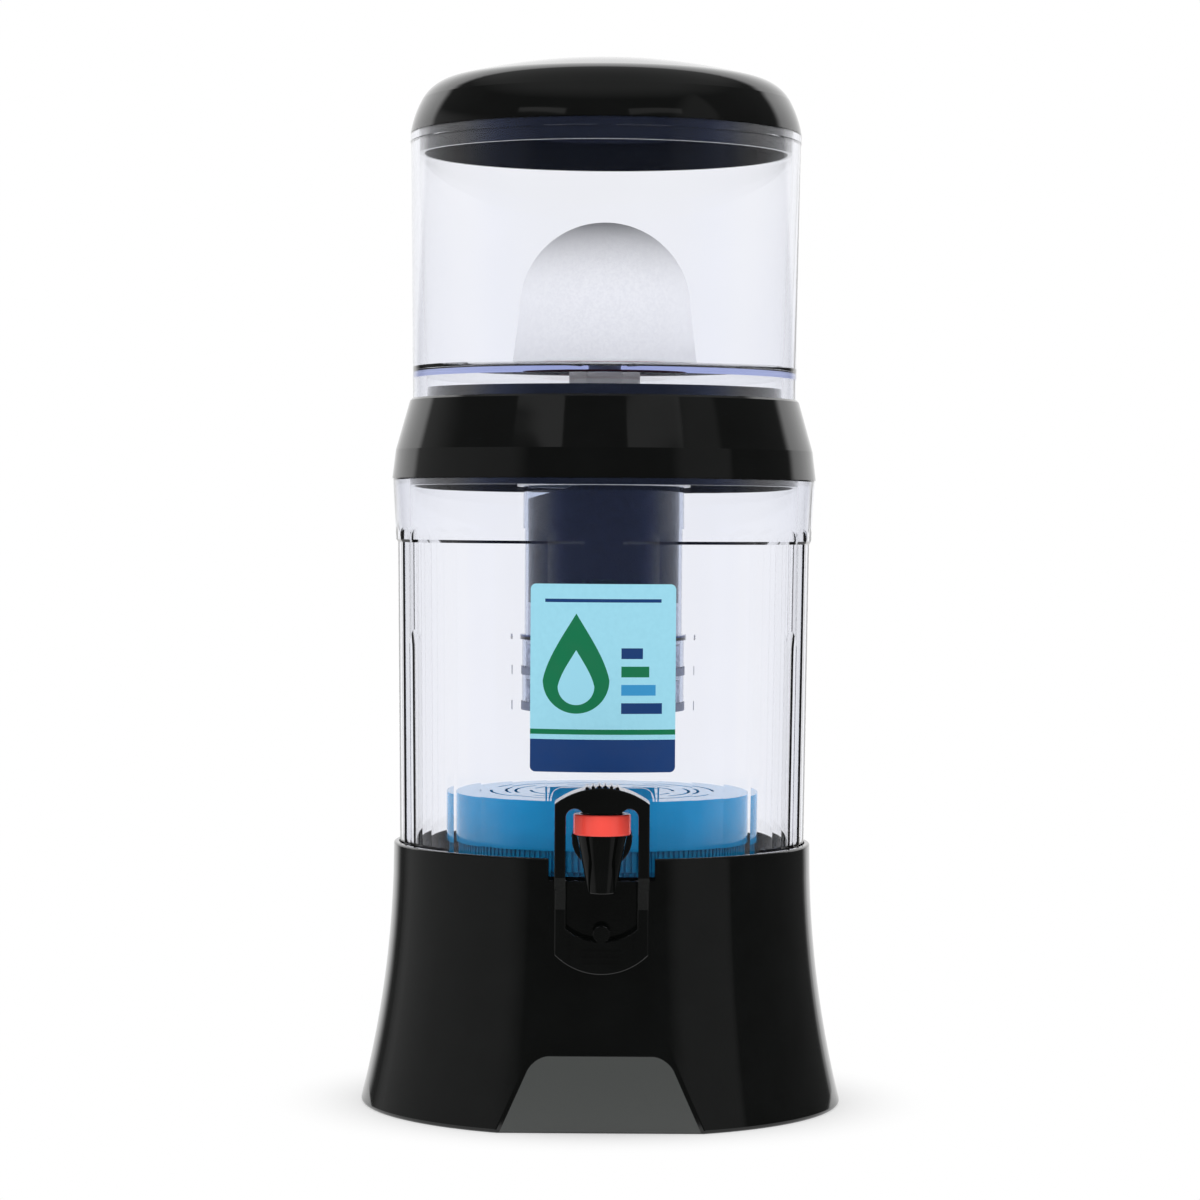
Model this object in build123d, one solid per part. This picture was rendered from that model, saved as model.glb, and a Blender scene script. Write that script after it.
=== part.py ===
from build123d import *
import math
import os

# Gravity water filter with a push tap: a clear upper tank with a ceramic dome and a hanging
# media cartridge, a clear lower tank with a stone tray, and a lever tap, on a moulded base.
# Sizes are in millimetres. The tanks stand on the Z axis, the tap faces -Y, and z = 0 is the
# surface that the base rests on. finished() moves every piece so that the origin ends up
# under the middle of the whole object.

# ---- fits ---------------------------------------------------------------------------------
slip = 0.4            # radial gap where one big moulding drops into another
snug = 0.1            # radial gap between small pieces that are screwed or pushed together
running = 0.06        # radial gap of a pin or stem that moves in its hole
lift_gap = 0.3        # gap between the lever's lifting pegs and the stem's head
past = 1.0            # how far a cut runs past the faces that it opens

# ---- base ---------------------------------------------------------------------------------
base_height = 127.0
base_rim_radius = 101.8
base_waist_radius = 105.25
base_waist_z = 66.0
base_foot_radius = 117.5
base_wall = 2.5
base_edge_round = 1.5       # along the foot and the facet's upright edges
base_lip_round = 1.0
deck_below_rim = 15.0       # top of the deck that carries the lower tank
deck_thickness = 2.5
deck_opening_radius = 62.0
base_rib_count = 8
base_rib_depth = 22.0
base_rib_thickness = 2.0
facet_foot_distance = 106.7  # flat front facet, measured from the axis at the foot
facet_rim_distance = 98.9    # and at the rim
notch_depth = 10.4           # the rim is cut down this far in front, for the tap pad

# ---- lower tank ---------------------------------------------------------------------------
lower_tank_height = 192.0
lower_rim_radius = 103.1
lower_step_above_foot = 161.0   # where the body ends
lower_step_height = 1.4         # the step to the rim band slopes out over this height
lower_band_radius = 101.4       # the band's foot, at the step
lower_body_radius = 100.5       # just under that step
lower_foot_radius = 98.6
lower_mouth_radius = 95.3       # inside, at the rim
lower_floor_radius = 93.0       # inside, at the floor
tank_ring_radius = 94.0         # standing ring under the floor
tank_ring_width = 4.0
tank_ring_height = 3.0
lower_floor_thickness = 3.0
shoulder_gap = 0.4              # between the base's notch and the tank's shoulder
facet_count = 36                # flat facets round the body, each with a scallop above it
scallop_height = 6.0            # above the step's slope
grip_angle = 65.0               # wide recesses, either side of the front
grip_radius = 55.7
grip_depth = 1.2
grip_top_above_foot = 119.0
pad_half_width = 24.3           # flat pad that the tap is screwed to
pad_distance = 101.0
pad_wall = 5.5
pad_top_above_foot = 48.0
pad_corner = 6.0
pad_inner_half_width = 17.0
label_width = 67.6
label_height = 87.5
label_above_foot = 55.1
label_thickness = 0.35
label_corner = 2.5
label_gap = 0.2                 # adhesive under the sticker

# ---- collar -------------------------------------------------------------------------------
collar_height = 39.0
collar_foot_radius = 103.6
collar_crease_radius = 101.9
collar_crease_height = 14.0
collar_ledge_radius = 94.6
collar_wall = 2.8
collar_ledge_round = 1.0
collar_opening_radius = 60.0
collar_spigot_height = 5.0
collar_spigot_wall = 2.4
collar_plug_depth = 3.0
collar_plug_wall = 2.4

# ---- upper tank and lid -------------------------------------------------------------------
upper_tank_height = 128.9
upper_rim_radius = 95.5
upper_body_radius = 95.2        # just under the rim bead
upper_foot_radius = 93.6
upper_mouth_radius = 91.6
upper_floor_radius = 87.4
upper_bead_height = 4.4
upper_skirt_height = 10.3       # floor's underside above the skirt's foot
upper_floor_thickness = 3.0
upper_floor_round = 2.5
lid_height = 36.5
lid_crown_drop = 10.2           # the crown arc ends this far below the top
lid_corner_inset = 18.1         # and this far in from the rim
lid_side_height = 16.4          # the rounded corner ends this high above the rim
lid_side_inset = 5.5
lid_wall = 2.6
lid_plug_depth = 10.4
lid_plug_wall = 2.2

# ---- ceramic dome -------------------------------------------------------------------------
dome_height = 67.8              # above its base plate
dome_cap_radius = 41.7
dome_foot_radius = 44.9
dome_wall = 8.0
dome_base_radius = 45.3
dome_base_thickness = 3.5
dome_plug_height = 4.0
dome_seal_radius = 30.0
dome_seal_thickness = 1.2
dome_stem_radius = 8.0
dome_stem_length = 34.0         # from the base plate down
dome_stem_bore = 3.0
dome_nut_flats = 30.0
dome_nut_height = 6.0

# ---- cartridge ----------------------------------------------------------------------------
cartridge_radius = 39.4
cartridge_wall = 2.0
cartridge_length = 92.0         # clear housing, from the cap's plate to its flange
cap_radius = 42.4
cap_plate = 2.5
cap_skirt_height = 16.0
cap_neck_radius = 12.0
cap_neck_height = 20.0
cap_drip_radius = 6.0
cap_below_stem = 3.0            # stem's end above the cap's plate
housing_flange_height = 2.5
housing_floor = 2.0
drain_radius = 6.0
sand_depth = 14.0
pad_thickness = 2.0
carbon_top_gap = 22.5           # the settled bed lies this far down on its low side
carbon_slope = 15.0             # degrees
cup_radius = 41.0
cup_wall = 2.0
cup_height = 17.2
cup_floor = 2.0
seal_height = 4.0
seal_thickness = 0.6

# ---- stone tray ---------------------------------------------------------------------------
tray_radius = 74.5
tray_height = 21.6
tray_wall = 2.5
tray_floor = 2.5
tray_foot_radius = 72.6
tray_foot_width = 6.0
tray_foot_height = 10.0
tray_foot_slots = 150
tray_foot_slot_width = 1.3
tray_foot_slot_depth = 1.2
tray_lid_thickness = 2.0
tray_lid_plug = 2.0
slot_ring_radius = 34.5         # innermost ring of slots
slot_ring_pitch = 10.5
slot_ring_count = 3
slot_width = 2.0
slot_arcs = 4
slot_arc = 66.0                 # degrees that each slot spans
slot_turn = 45.0                # each ring of slots is turned by this
tab_width = 51.4                # ramp that a finger lifts the lid by
tab_height = 5.5
tab_length = 22.0
stone_radius = 9.0
stone_ring_pitch = 20.0
stone_ring_count = 4            # with the single stone in the middle
stones_per_step = 6
stone_stagger = 0.25            # share of a pitch that each ring is turned by

# ---- tap ----------------------------------------------------------------------------------
tap_above_deck = 25.0           # shank's axis
tap_reach = 33.0                # from the tank's pad to the nozzle's axis
shank_radius = 8.0
shank_bore = 5.5
shank_length = 17.0             # inside the pad's face
flange_radius = 14.0
flange_thickness = 4.0
gasket_thickness = 2.0
gasket_radius = 13.0
nut_flats = 25.0
nut_thickness = 7.0
neck_radius = 7.5
neck_bore = 4.0
neck_drop = 3.8                 # the neck lies this far below the shank's axis
nozzle_tip_drop = 22.6          # drops and rises are measured from the shank's axis
nozzle_tip_radius = 6.35
nozzle_bore = 4.4
nozzle_top_rise = 4.2
nozzle_top_radius = 11.5
nozzle_wall = 1.8
nozzle_lip_round = 0.7
seat_drop = 9.0                 # the valve plug seals on this face
tap_neck_radius = 10.0
tap_neck_height = 5.4
tap_bore = 8.6
ring_radius = 13.1
ring_height = 9.6
ring_round = 0.8
bonnet_seal_height = 0.8
bonnet_flange_height = 3.9
bonnet_skirt_depth = 4.7
bonnet_skirt_wall = 1.6
bonnet_deck_height = 1.5
ear_inner = 3.4                 # half the gap between the bonnet's ears
ear_outer = 6.4
ear_radius = 2.4
pivot_ahead = 9.5               # pivot pin in front of the nozzle's axis
pivot_rise = 19.8
pivot_radius = 1.4
stem_radius = 2.2
stem_head_radius = 4.4
stem_head_height = 2.0
spring_seat_radius = 5.2
spring_seat_height = 1.2
plug_radius = 6.0
plug_foot_height = 3.2
plug_height = 7.0
plug_top_radius = 3.8
plug_socket_depth = 4.0
spring_radius = 4.6
spring_wire = 0.7
spring_turns = 5
oring_thickness = 1.7

# ---- tap lever ----------------------------------------------------------------------------
lever_front = 14.6              # front face ahead of the nozzle's axis
lever_half_width = 21.5
lever_arm_width = 5.1
lever_arm_depth = 5.0
lever_head_depth = 22.0
lever_shoulder_rise = 19.0
lever_crown_rise = 26.3
lever_skin = 2.2
lever_front_wall = 1.4
lever_edge_round = 0.7          # round its front faces
lever_block_half_width = 8.3
lever_block_foot_rise = 14.9
lever_window_top_rise = 16.85
lever_bend_drop = 14.4
lever_step = 23.0               # the push plate lies this far behind the arms' front
lever_step_drop = 16.6
lever_plate_depth = 3.6
plate_shoulder_drop = 52.0
plate_foot_drop = 61.0
plate_top_side_drop = 40.0
plate_top_middle_drop = 46.0
nub_radius = 4.0
nub_top_drop = 38.5
panel_half_width = 15.0
panel_height = 0.6
grip_bar_length = 18.0
grip_bar_width = 1.3
grip_bar_height = 0.5
grip_bar_pitch = 3.0
grip_bars = 3
grip_bar_above_foot = 4.5       # lowest bar, above the push plate's foot
peg_radius = 1.2
peg_inner = 2.6
ridge_count = 6
ridge_pitch = 2.75
ridge_radius = 0.8

# ---- levels and places that follow from the sizes -----------------------------------------
deck_z = base_height - deck_below_rim
notch_z = base_height - notch_depth
shoulder_z = notch_z + shoulder_gap
lower_floor_z = deck_z + tank_ring_height + lower_floor_thickness
lower_rim_z = deck_z + lower_tank_height
lower_step_z = deck_z + lower_step_above_foot
ledge_z = lower_rim_z + collar_height
upper_floor_under_z = ledge_z + upper_skirt_height
upper_floor_z = upper_floor_under_z + upper_floor_thickness
upper_rim_z = ledge_z + upper_tank_height
dome_base_z = upper_floor_z + dome_seal_thickness
dome_z = dome_base_z + dome_base_thickness
stem_end_z = dome_base_z - dome_stem_length
cap_plate_top_z = stem_end_z - cap_below_stem
cap_plate_z = cap_plate_top_z - cap_plate
housing_z = cap_plate_z - cartridge_length
sand_z = housing_z + housing_floor
sand_top_z = sand_z + sand_depth
carbon_z = sand_top_z + pad_thickness
tray_z = lower_floor_z + tray_foot_height
tray_rim_z = tray_z + tray_height
pad_y = -pad_distance
tap_y = pad_y - tap_reach
tap_z = deck_z + tap_above_deck
nozzle_tip_z = tap_z - nozzle_tip_drop
nozzle_top_z = tap_z + nozzle_top_rise
seat_z = tap_z - seat_drop
tap_neck_z = tap_z - neck_drop
tap_neck_top_z = nozzle_top_z + tap_neck_height
bonnet_z = tap_neck_top_z + bonnet_seal_height
bonnet_deck_z = bonnet_z + bonnet_flange_height
bonnet_top_z = bonnet_deck_z + bonnet_deck_height
pivot_y = tap_y - pivot_ahead
pivot_z = tap_z + pivot_rise
lever_y = tap_y - lever_front
lever_shoulder_z = tap_z + lever_shoulder_rise
lever_crown_z = tap_z + lever_crown_rise
lever_block_foot_z = tap_z + lever_block_foot_rise
lever_window_top_z = tap_z + lever_window_top_rise
lever_bend_z = tap_z - lever_bend_drop
plate_shoulder_z = tap_z - plate_shoulder_drop
plate_foot_z = tap_z - plate_foot_drop
plate_top_side_z = tap_z - plate_top_side_drop
plate_top_middle_z = tap_z - plate_top_middle_drop
nub_top_z = tap_z - nub_top_drop
cheek_inner = ear_outer + slip
peg_z = bonnet_top_z + lift_gap + peg_radius
stem_head_z = peg_z + peg_radius + lift_gap
plug_z = seat_z + snug
spring_seat_z = plug_z + plug_height


# ---- helpers ------------------------------------------------------------------------------
def turned(*outline):
    """The closed outline of (radius, height) points, turned about the Z axis."""
    return revolve(Plane.XZ * make_face(Polyline(*outline, close=True)), Axis.Z)


def turned_curves(*curves):
    """The closed chain of curves in radius and height, turned about the Z axis."""
    return revolve(Plane.XZ * make_face(Wire(curves)), Axis.Z)


def rod(radius, low, high):
    """An upright cylinder on the Z axis."""
    return extrude(Plane.XY.offset(low) * Circle(radius), high - low)


def ring(outer, inner, low, high):
    """An upright ring on the Z axis."""
    return rod(outer, low, high) - rod(inner, low, high)


def bar(radius, front, back, height):
    """A level cylinder along Y, in the middle plane."""
    start = Plane(origin=(0, front, height), x_dir=(1, 0, 0), z_dir=(0, 1, 0))
    return extrude(start * Circle(radius), back - front)


def cross_bar(radius, left, right, place_y, height):
    """A level cylinder along X."""
    start = Plane(origin=(left, place_y, height), x_dir=(0, 1, 0), z_dir=(1, 0, 0))
    return extrude(start * Circle(radius), right - left)


def block(x, y, z):
    """A box between three pairs of limits."""
    size = (x[1] - x[0], y[1] - y[0], z[1] - z[0])
    middle = ((x[0] + x[1]) / 2, (y[0] + y[1]) / 2, (z[0] + z[1]) / 2)
    return Pos(*middle) * Box(*size)


def front_drawing(sketch, front, back):
    """A drawing in X and Z, pushed through from one Y to another."""
    plane = Plane(origin=(0, front, 0), x_dir=(1, 0, 0), z_dir=(0, -1, 0))
    return extrude(plane * sketch, -(back - front))


def at_tap(shape):
    """A piece drawn about the Z axis, moved to the nozzle's axis."""
    return Pos(0, tap_y, 0) * shape


def hexagon(flats, low, high):
    """An upright hexagonal prism, measured across its flats."""
    outline = RegularPolygon(flats / 2, 6, major_radius=False)
    return extrude(Plane.XY.offset(low) * outline, high - low)


def between(low, high, share):
    return low + (high - low) * share


# ---- base ---------------------------------------------------------------------------------
def base_form(inset):
    """The base's outer form, or the same form drawn in by a wall."""
    rim = (base_rim_radius - inset, base_height)
    waist = (base_waist_radius - inset, base_waist_z)
    foot = (base_foot_radius - inset, 0)
    form = turned_curves(
        ThreePointArc(foot, waist, rim),
        Line(rim, (0, base_height)),
        Line((0, base_height), (0, 0)),
        Line((0, 0), foot),
    )
    facet = Plane.YZ * make_face(Polyline(
        (-(facet_foot_distance - inset), 0),
        (-(facet_rim_distance - inset), base_height),
        (-2 * base_foot_radius, base_height),
        (-2 * base_foot_radius, 0),
        close=True,
    ))
    return form - extrude(facet, 2 * base_foot_radius, both=True)


def base_rib(turn, hollow):
    """One of the ribs that carry the deck, from the wall to the deck's opening."""
    rib_top = deck_z - deck_thickness
    half = base_rib_thickness / 2
    rib = block((deck_opening_radius, base_foot_radius), (-half, half), (rib_top - base_rib_depth, rib_top))
    return (Rot(0, 0, (turn + 0.5) * 360 / base_rib_count) * rib) & hollow


def base_shell():
    form = base_form(0)
    front = form.faces().sort_by(Axis.Y)[0]
    upright = [edge for edge in front.edges() if 0.1 < edge.center().Z < base_height - 0.1]
    form = fillet(form.edges().group_by(Axis.Z)[0] + upright, base_edge_round)
    hollow = base_form(base_wall)
    deck = hollow & ring(base_foot_radius, deck_opening_radius, deck_z - deck_thickness, deck_z)
    shell = form - hollow + deck
    for turn in range(base_rib_count):
        shell = shell + base_rib(turn, hollow)
    half = pad_half_width + slip
    ahead = (-base_foot_radius, -deck_opening_radius)
    shell = shell - block((-half, half), ahead, (notch_z, base_height + past))
    lip = [edge for edge in shell.edges().filter_by(GeomType.CIRCLE)
           if edge.center().Z > base_height - 0.01 and edge.radius > base_rim_radius - base_wall / 2]
    return fillet(lip, base_lip_round)


# ---- lower tank ---------------------------------------------------------------------------
def lower_radius(height):
    """Radius of the ridges between the lower tank's facets at a height."""
    return between(lower_foot_radius, lower_body_radius, (height - deck_z) / lower_step_above_foot)


def band_radius(height):
    """The rim band's outer radius at a height, before the scallops are cut."""
    return between(lower_band_radius, lower_rim_radius,
                   (height - lower_step_z) / (lower_rim_z - lower_step_z))


def facet_cutter():
    """What one flat facet, the step and the scallop over it leave out of the tank's form."""
    flat = math.cos(math.pi / facet_count)
    band_z = lower_step_z + lower_step_height
    slope = (lower_rim_radius - lower_band_radius) / (lower_rim_z - lower_step_z)
    foot = (band_radius(band_z) * flat, band_z)
    rise = scallop_height + past
    bow = (band_radius(band_z) - foot[0]) * (rise / scallop_height) ** 2
    crest = (foot[0] + slope * rise + bow, band_z + rise)
    scallop = TangentArc(foot, crest, tangent=(slope, 1))
    outline = Polyline(
        crest,
        (lower_rim_radius, crest[1]),
        (lower_rim_radius, deck_z),
        (lower_foot_radius * flat, deck_z),
        (lower_body_radius * flat, lower_step_z),
        foot,
    )
    half_width = lower_rim_radius * math.tan(math.pi / facet_count)
    return extrude(Plane.XZ * make_face([scallop, *outline.edges()]), half_width, both=True)


def groove_cutter(radius, depth, top):
    """A long round-ended bar that lies along the tapered body and cuts one recess."""
    low = deck_z - tank_ring_height
    start = Vector(lower_radius(low) + radius - depth, 0, low)
    end = Vector(lower_radius(top) + radius - depth, 0, top)
    along = end - start
    side = Plane(origin=start, x_dir=(0, 1, 0), z_dir=along.normalized())
    return extrude(side * Circle(radius), along.length) + Pos(*end) * Sphere(radius)


def lower_tank():
    outside = turned(
        (0, deck_z),
        (tank_ring_radius, deck_z),
        (tank_ring_radius, shoulder_z),
        (lower_band_radius, shoulder_z),
        (lower_band_radius, lower_step_z),
        (lower_rim_radius, lower_rim_z),
        (0, lower_rim_z),
    )
    facet = facet_cutter()
    front = -90
    for turn in range(facet_count):
        outside = outside - Rot(0, 0, front + turn * 360 / facet_count) * facet
    grip_centre = deck_z + grip_top_above_foot - math.sqrt(2 * grip_radius * grip_depth)
    grip = groove_cutter(grip_radius, grip_depth, grip_centre)
    for side in (-1, 1):
        outside = outside - Rot(0, 0, front + side * grip_angle) * grip
    pad_top = deck_z + pad_top_above_foot
    pad = block((-pad_half_width, pad_half_width), (pad_y, pad_y / 2), (shoulder_z, pad_top))
    pad = fillet(pad.edges().filter_by(Axis.Y).group_by(Axis.Z)[-1], pad_corner)
    inside = turned(
        (0, lower_floor_z),
        (lower_floor_radius, lower_floor_z),
        (lower_mouth_radius, lower_rim_z),
        (0, lower_rim_z),
    )
    under = rod(tank_ring_radius - tank_ring_width, deck_z, deck_z + tank_ring_height)
    pad_hollow = block((-pad_inner_half_width, pad_inner_half_width), (pad_y + pad_wall, pad_y / 2),
                       (tap_z - pad_inner_half_width, tap_z + pad_inner_half_width))
    tank = outside + pad - inside - under - pad_hollow
    return tank - bar(shank_radius + slip, pad_y - past, pad_y / 2, tap_z)


def front_label():
    """A thin sticker that lies on the ridges between the facets."""
    low = deck_z + label_above_foot
    high = low + label_height
    skin = turned(
        (lower_radius(low) + label_gap, low),
        (lower_radius(high) + label_gap, high),
        (lower_radius(high) + label_gap + label_thickness, high),
        (lower_radius(low) + label_gap + label_thickness, low),
    )
    shape = Pos(0, (low + high) / 2) * RectangleRounded(label_width, label_height, label_corner)
    return skin & front_drawing(shape, -2 * lower_rim_radius, 0)


# ---- collar -------------------------------------------------------------------------------
def collar():
    z = lower_rim_z
    spigot = upper_floor_radius - 2 * slip
    plug = between(lower_floor_radius, lower_mouth_radius,
                   (z - collar_plug_depth - lower_floor_z) / (z - lower_floor_z)) - slip
    ledge_under = ledge_z - collar_wall
    foot_top = z + collar_wall
    return turned(
        (collar_foot_radius, z),
        (collar_crease_radius, z + collar_crease_height),
        (collar_ledge_radius + collar_ledge_round / 2, ledge_z - collar_ledge_round),
        (collar_ledge_radius - collar_ledge_round / 2, ledge_z),
        (spigot, ledge_z),
        (spigot, ledge_z + collar_spigot_height),
        (spigot - collar_spigot_wall, ledge_z + collar_spigot_height),
        (spigot - collar_spigot_wall, ledge_z),
        (collar_opening_radius, ledge_z),
        (collar_opening_radius, ledge_under),
        (collar_ledge_radius - collar_wall, ledge_under),
        (collar_crease_radius - collar_wall, z + collar_crease_height),
        (collar_foot_radius - collar_wall, foot_top),
        (plug - collar_plug_wall, foot_top),
        (plug - collar_plug_wall, z - collar_plug_depth),
        (plug, z - collar_plug_depth),
        (plug, z),
    )


# ---- upper tank and lid -------------------------------------------------------------------
def upper_tank():
    bead_z = upper_rim_z - upper_bead_height
    tank = turned(
        (upper_floor_radius, ledge_z),
        (upper_foot_radius, ledge_z),
        (upper_body_radius, bead_z),
        (upper_rim_radius, bead_z + (upper_rim_radius - upper_body_radius)),
        (upper_rim_radius, upper_rim_z),
        (upper_mouth_radius, upper_rim_z),
        (upper_floor_radius, upper_floor_z),
        (dome_stem_radius + slip, upper_floor_z),
        (dome_stem_radius + slip, upper_floor_under_z),
        (upper_floor_radius, upper_floor_under_z),
    )
    corner = [edge for edge in tank.edges().filter_by(GeomType.CIRCLE)
              if abs(edge.center().Z - upper_floor_z) < 0.01 and edge.radius > dome_base_radius]
    return fillet(corner, upper_floor_round)


def lid_form(inset):
    """The lid's domed form: a crown arc, a rounded corner and a bowed side, all tangent."""
    rim = (upper_rim_radius - inset, upper_rim_z)
    top = (0, upper_rim_z + lid_height - inset)
    crown_end = (rim[0] - lid_corner_inset, top[1] - lid_crown_drop)
    side_start = (rim[0] - lid_side_inset, upper_rim_z + lid_side_height)
    crown_radius = (crown_end[0] ** 2 + lid_crown_drop ** 2) / (2 * lid_crown_drop)
    crown_slope = math.asin(crown_end[0] / crown_radius)
    crown = TangentArc(top, crown_end, tangent=(1, 0))
    corner = TangentArc(crown_end, side_start, tangent=(math.cos(crown_slope), -math.sin(crown_slope)))
    side = TangentArc(side_start, rim, tangent=corner % 1)
    return turned_curves(crown, corner, side, Line(rim, (0, upper_rim_z)), Line((0, upper_rim_z), top))


def lid():
    """Domed shell with a locating ring that drops into the tank's mouth."""
    depth_share = lid_plug_depth / (upper_rim_z - upper_floor_z)
    plug = between(upper_mouth_radius, upper_floor_radius, depth_share) - slip
    plug_inner = plug - lid_plug_wall
    web_top = upper_rim_z + lid_wall
    web = ring(upper_rim_radius - lid_wall / 2, plug_inner, upper_rim_z, web_top)
    tube = ring(plug, plug_inner, upper_rim_z - lid_plug_depth, web_top)
    return lid_form(0) - lid_form(lid_wall) + web + tube


# ---- ceramic dome -------------------------------------------------------------------------
def dome_form(inset):
    """A hemisphere on a slightly tapered wall, as the dome's outside or its hollow."""
    centre_z = dome_z + dome_height - dome_cap_radius
    cap = dome_cap_radius - inset
    foot = dome_foot_radius - inset
    crown = RadiusArc((0, centre_z + cap), (cap, centre_z), cap)
    return turned_curves(
        crown,
        Line((cap, centre_z), (foot, dome_z)),
        Line((foot, dome_z), (0, dome_z)),
        Line((0, dome_z), (0, centre_z + cap)),
    )


def ceramic_dome():
    return dome_form(0) - dome_form(dome_wall)


def dome_base():
    plate = rod(dome_base_radius, dome_base_z, dome_z)
    plug = rod(dome_foot_radius - dome_wall - 2 * slip, dome_z, dome_z + dome_plug_height)
    stem = rod(dome_stem_radius, stem_end_z, dome_base_z)
    return plate + plug + stem - rod(dome_stem_bore, stem_end_z, dome_z + dome_plug_height)


def dome_seal():
    return ring(dome_seal_radius, dome_stem_radius + snug, upper_floor_z, dome_base_z)


def dome_nut():
    low = upper_floor_under_z - dome_nut_height
    nut = hexagon(dome_nut_flats, low, upper_floor_under_z)
    return nut - rod(dome_stem_radius + snug, low, upper_floor_under_z)


# ---- cartridge ----------------------------------------------------------------------------
def cartridge_cap():
    skirt_inner = cartridge_radius + snug
    return turned(
        (cap_drip_radius, cap_plate_z),
        (skirt_inner, cap_plate_z),
        (skirt_inner, cap_plate_z - cap_skirt_height),
        (cap_radius, cap_plate_z - cap_skirt_height),
        (cap_radius, cap_plate_top_z),
        (cap_neck_radius, cap_plate_top_z),
        (cap_neck_radius, cap_plate_top_z + cap_neck_height),
        (dome_stem_radius + snug, cap_plate_top_z + cap_neck_height),
        (dome_stem_radius + snug, cap_plate_top_z),
        (cap_drip_radius, cap_plate_top_z),
    )


def cartridge_housing():
    inner = cartridge_radius - cartridge_wall
    return turned(
        (drain_radius, housing_z),
        (cap_radius, housing_z),
        (cap_radius, housing_z + housing_flange_height),
        (cartridge_radius, housing_z + housing_flange_height),
        (cartridge_radius, cap_plate_z),
        (inner, cap_plate_z),
        (inner, sand_z),
        (drain_radius, sand_z),
    )


def carbon_bed():
    """Granular carbon, settled so that its top slopes down towards -X."""
    radius = cartridge_radius - cartridge_wall - snug
    bed = rod(radius, carbon_z, cap_plate_z - snug)
    low_side = Plane(origin=(-radius, 0, cap_plate_z - carbon_top_gap)).rotated((0, -carbon_slope, 0))
    return bed - extrude(low_side * Rectangle(6 * radius, 6 * radius), cartridge_length)


def sand_bed():
    return rod(cartridge_radius - cartridge_wall - snug, sand_z, sand_top_z)


def cup(top):
    """A clear cup that hangs under the piece above it."""
    low = top - cup_height
    return turned(
        (drain_radius, low),
        (cup_radius, low),
        (cup_radius, top),
        (cup_radius - cup_wall, top),
        (cup_radius - cup_wall, low + cup_floor),
        (drain_radius, low + cup_floor),
    )


def zeolite_cup():
    return cup(housing_z)


def end_cup():
    return cup(housing_z - cup_height)


def cup_filling(top):
    return rod(cup_radius - cup_wall - snug, top - cup_height + cup_floor, top - pad_thickness)


def zeolite_bed():
    return cup_filling(housing_z)


def mineral_bed():
    return cup_filling(housing_z - cup_height)


def felt_pads():
    """Three felt discs, one over each bed of fine grains."""
    housing_pad = rod(cartridge_radius - cartridge_wall - snug, sand_top_z, carbon_z)
    cup_inner = cup_radius - cup_wall - snug
    pads = [housing_pad]
    for top in (housing_z, housing_z - cup_height):
        pads.append(rod(cup_inner, top - pad_thickness, top))
    return pads


def cup_seals():
    """A sealing band round the foot of each cup."""
    bands = []
    for low in (housing_z - cup_height, housing_z - 2 * cup_height):
        bands.append(ring(cup_radius + seal_thickness, cup_radius, low, low + seal_height))
    return bands


# ---- stone tray ---------------------------------------------------------------------------
def stone_tray():
    return turned(
        (0, tray_z),
        (tray_radius, tray_z),
        (tray_radius, tray_rim_z),
        (tray_radius - tray_wall, tray_rim_z),
        (tray_radius - tray_wall, tray_z + tray_floor),
        (0, tray_z + tray_floor),
    )


def stone_tray_foot():
    foot = ring(tray_foot_radius, tray_foot_radius - tray_foot_width, lower_floor_z, tray_z)
    slot = block(
        (tray_foot_radius - tray_foot_slot_depth, tray_foot_radius + past),
        (-tray_foot_slot_width / 2, tray_foot_slot_width / 2),
        (lower_floor_z, tray_z),
    )
    return foot - [Rot(0, 0, turn * 360 / tray_foot_slots) * slot for turn in range(tray_foot_slots)]


def arc_slot(radius, start):
    """A round-ended slot along an arc, cut right through the tray's lid."""
    slot = SlotArc(CenterArc((0, 0), radius, start, slot_arc), slot_width)
    return extrude(Plane.XY.offset(tray_rim_z) * slot, tray_lid_thickness)


def stone_tray_lid():
    top_z = tray_rim_z + tray_lid_thickness
    plug_radius_here = tray_radius - tray_wall - slip
    plate = rod(tray_radius, tray_rim_z, top_z)
    plug = ring(plug_radius_here, plug_radius_here - tray_wall, tray_rim_z - tray_lid_plug, tray_rim_z)
    slots = []
    for order in range(slot_ring_count):
        for turn in range(slot_arcs):
            start = turn * 360 / slot_arcs + order * slot_turn
            slots.append(arc_slot(slot_ring_radius + order * slot_ring_pitch, start))
    ramp = Plane.YZ * make_face(Polyline(
        (-tray_radius, top_z),
        (-tray_radius + tab_length, top_z + tab_height),
        (-tray_radius + tab_length + tab_height, top_z),
        close=True,
    ))
    tab = extrude(ramp, tab_width / 2, both=True) & rod(tray_radius, top_z, top_z + tab_height)
    return plate + plug - slots + tab


def mineral_stones():
    """Rounded stones in rings on the tray's floor."""
    stones = []
    height = tray_z + tray_floor + stone_radius
    for order in range(stone_ring_count):
        radius = order * stone_ring_pitch
        count = max(1, order * stones_per_step)
        for turn in range(count):
            angle = math.radians((turn + order * stone_stagger) * 360 / count)
            place = Pos(radius * math.cos(angle), radius * math.sin(angle), height)
            stones.append(place * Sphere(stone_radius))
    return stones


# ---- tap ----------------------------------------------------------------------------------
def nozzle_radius(height):
    share = (height - nozzle_tip_z) / (nozzle_top_z - nozzle_tip_z)
    return between(nozzle_tip_radius, nozzle_top_radius, share)


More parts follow.
